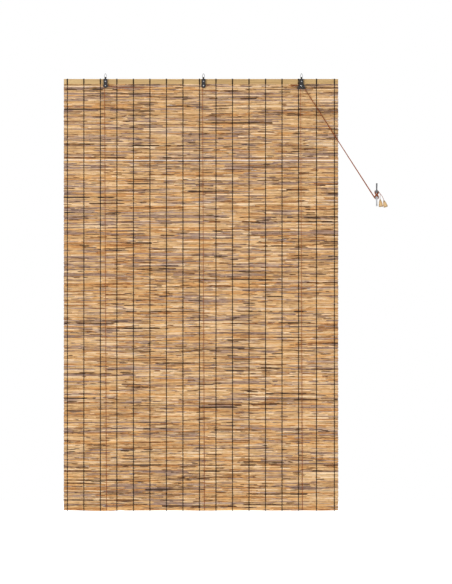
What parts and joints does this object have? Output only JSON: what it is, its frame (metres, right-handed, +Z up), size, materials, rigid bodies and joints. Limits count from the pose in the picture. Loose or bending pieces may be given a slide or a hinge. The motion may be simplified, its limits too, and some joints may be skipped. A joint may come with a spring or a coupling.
{
  "type": "reed roll up blind",
  "caption": "Roll-up reed window blind on a flat head rail, hung by wire rings, with pulley hangers, a cord lock, lift cords, wooden tassels and a wall cleat.",
  "frame": {"origin": "where the hook bears in the centre hanging ring, at the inner top of its wire", "axes": "+Z up, +X to the right as seen from the room, -Y towards the room, window behind at +Y"},
  "size_m": [1.6532, 0.0337, 2.233],
  "materials": {
    "bamboo_lath": "planed bamboo lath, satin",
    "reed": "natural dry reed, matte",
    "warp_thread": "twined cotton thread, dark brown",
    "black_steel": "black painted sheet steel, satin",
    "zinc_wire": "zinc-plated wire",
    "black_nylon": "moulded nylon",
    "bright_steel": "bright plated steel",
    "brass": "turned and fluted",
    "rust_cord": "braided cord, rust brown",
    "turned_wood": "turned pale wood, waxed",
    "cast_metal": "cast grey metal, satin"
  },
  "bodies": {
    "blind": {"head_rail": "bamboo_lath", "reed_mat": "reed", "warp_threads": "warp_thread", "pulley_housing_left": "black_steel", "pulley_housing_centre": "black_steel", "lock_housing": "black_steel", "cord_staples": "zinc_wire", "axle_rivet_left": "bright_steel", "axle_rivet_centre": "bright_steel", "axle_rivet_right": "bright_steel", "hanger_screw_left": "bright_steel", "hanger_screw_centre": "bright_steel", "hanger_screw_right": "bright_steel", "spacer_bush_left": "bright_steel", "spacer_bush_centre": "bright_steel", "spacer_bush_right": "bright_steel", "lock_guide_rivet": "bright_steel", "lift_cord_left": "rust_cord", "lift_cord_centre": "rust_cord", "lift_cord_right": "rust_cord", "pull_cord_left": "rust_cord", "pull_cord_centre": "rust_cord", "pull_cord_right": "rust_cord", "cord_winding": "rust_cord", "tail_cord_a": "rust_cord", "tail_cord_b": "rust_cord", "tassel_a": "turned_wood", "tassel_b": "turned_wood", "cleat": "cast_metal"},
    "ring_left": {"hanging_ring_left": "zinc_wire"},
    "ring_centre": {"hanging_ring_centre": "zinc_wire"},
    "ring_right": {"hanging_ring_right": "zinc_wire"},
    "wheel_left": {"pulley_wheel_left": "black_nylon"},
    "wheel_centre": {"pulley_wheel_centre": "black_nylon"},
    "wheel_lock": {"lock_wheel": "black_nylon"},
    "roller_pin": {"lock_roller_pin": "bright_steel"},
    "roller": {"lock_roller": "brass"}
  },
  "joints": [
    {"name": "ring_left_swing", "type": "hinge", "parent": "blind", "child": "ring_left", "pos_m": [-0.5, 0, -0.01823], "axis": [1, 0, 0], "range_deg": [-100, 120]},
    {"name": "ring_centre_swing", "type": "hinge", "parent": "blind", "child": "ring_centre", "pos_m": [0, 0, -0.01823], "axis": [1, 0, 0], "range_deg": [-100, 120]},
    {"name": "ring_right_swing", "type": "hinge", "parent": "blind", "child": "ring_right", "pos_m": [0.5, 0, -0.01823], "axis": [1, 0, 0], "range_deg": [-100, 120]},
    {"name": "wheel_lock_spin", "type": "hinge", "parent": "blind", "child": "wheel_lock", "pos_m": [0.5, 0, -0.06082], "axis": [0, 1, 0], "continuous": true},
    {"name": "wheel_left_spin", "type": "hinge", "parent": "blind", "child": "wheel_left", "pos_m": [-0.5, 0, -0.06082], "axis": [0, 1, 0], "continuous": true},
    {"name": "wheel_centre_spin", "type": "hinge", "parent": "blind", "child": "wheel_centre", "pos_m": [0, 0, -0.06082], "axis": [0, 1, 0], "continuous": true},
    {"name": "roller_slide", "type": "slide", "parent": "blind", "child": "roller_pin", "axis": [-0.221, 0, 0.9753], "range_m": [0, 0.0035]},
    {"name": "roller_spin", "type": "hinge", "parent": "roller_pin", "child": "roller", "pos_m": [0.50644, 0, -0.07249], "axis": [0, 1, 0], "continuous": true}
  ],
  "couplings": [
    {"joint": "wheel_left_spin", "follows": "wheel_lock_spin", "ratio": 1},
    {"joint": "wheel_centre_spin", "follows": "wheel_lock_spin", "ratio": 1}
  ]
}
